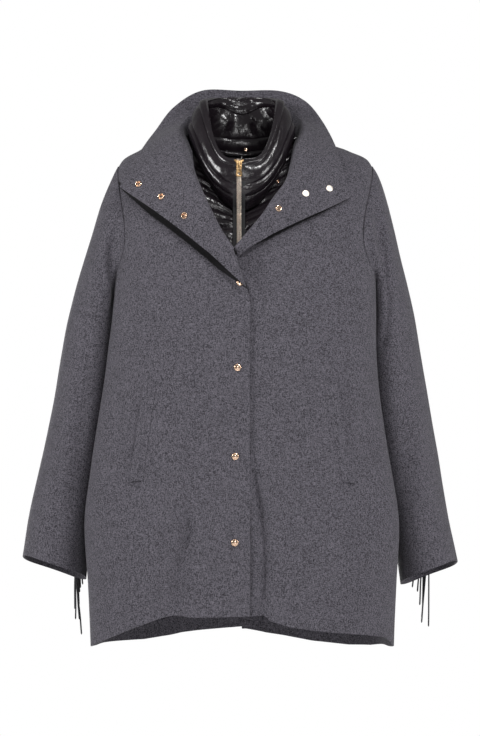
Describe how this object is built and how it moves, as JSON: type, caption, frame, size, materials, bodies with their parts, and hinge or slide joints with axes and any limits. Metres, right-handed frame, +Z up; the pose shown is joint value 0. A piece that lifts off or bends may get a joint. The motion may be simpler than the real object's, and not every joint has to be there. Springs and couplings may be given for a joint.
{
  "type": "fringed jacket over a quilted vest",
  "caption": "Worn hip-length wool jacket with an open funnel collar, slanted pockets, press studs and fringed three-quarter sleeves, over a zipped quilted vest.",
  "frame": {"origin": "centre of the neck at the height of the back neck seam, where the wearer's shoulders hold the jacket", "axes": "+Z up, -Y to the front, -X to the wearer's right"},
  "size_m": [0.654, 0.3048, 0.8424],
  "materials": {
    "wool": "brushed melange",
    "nylon": "glossy quilted",
    "zip_tape": "woven",
    "fringe": "matt",
    "rose_gold": "polished rose gold"
  },
  "bodies": {
    "garment": {"front_right": "wool", "front_left": "wool", "back_right": "wool", "back_left": "wool", "vent_underlap": "wool", "sleeve_right": "wool", "sleeve_left": "wool", "collar": "wool", "welt_right": "wool", "welt_left": "wool", "vest_collar": "nylon", "vest_front_right": "nylon", "vest_front_left": "nylon", "vest_back": "nylon", "zip_tape": "zip_tape", "zip_chain": "rose_gold", "zip_slider": "rose_gold", "fringe_right": "fringe", "fringe_left": "fringe", "snap_front_1": "rose_gold", "snap_front_2": "rose_gold", "snap_front_3": "rose_gold", "snap_socket_1": "rose_gold", "snap_socket_2": "rose_gold", "snap_socket_3": "rose_gold", "snap_lapel_1": "rose_gold", "snap_lapel_2": "rose_gold", "snap_lapel_3": "rose_gold", "snap_foot": "rose_gold", "snap_neck": "rose_gold", "snap_vest": "rose_gold"},
    "pull_tab": {"zip_pull": "rose_gold"}
  },
  "joints": [
    {"name": "pull_tab_swing", "type": "hinge", "parent": "garment", "child": "pull_tab", "pos_m": [-0.004, -0.10363, -0.02317], "axis": [-1, 0, 0], "range_deg": [0, 140]}
  ]
}
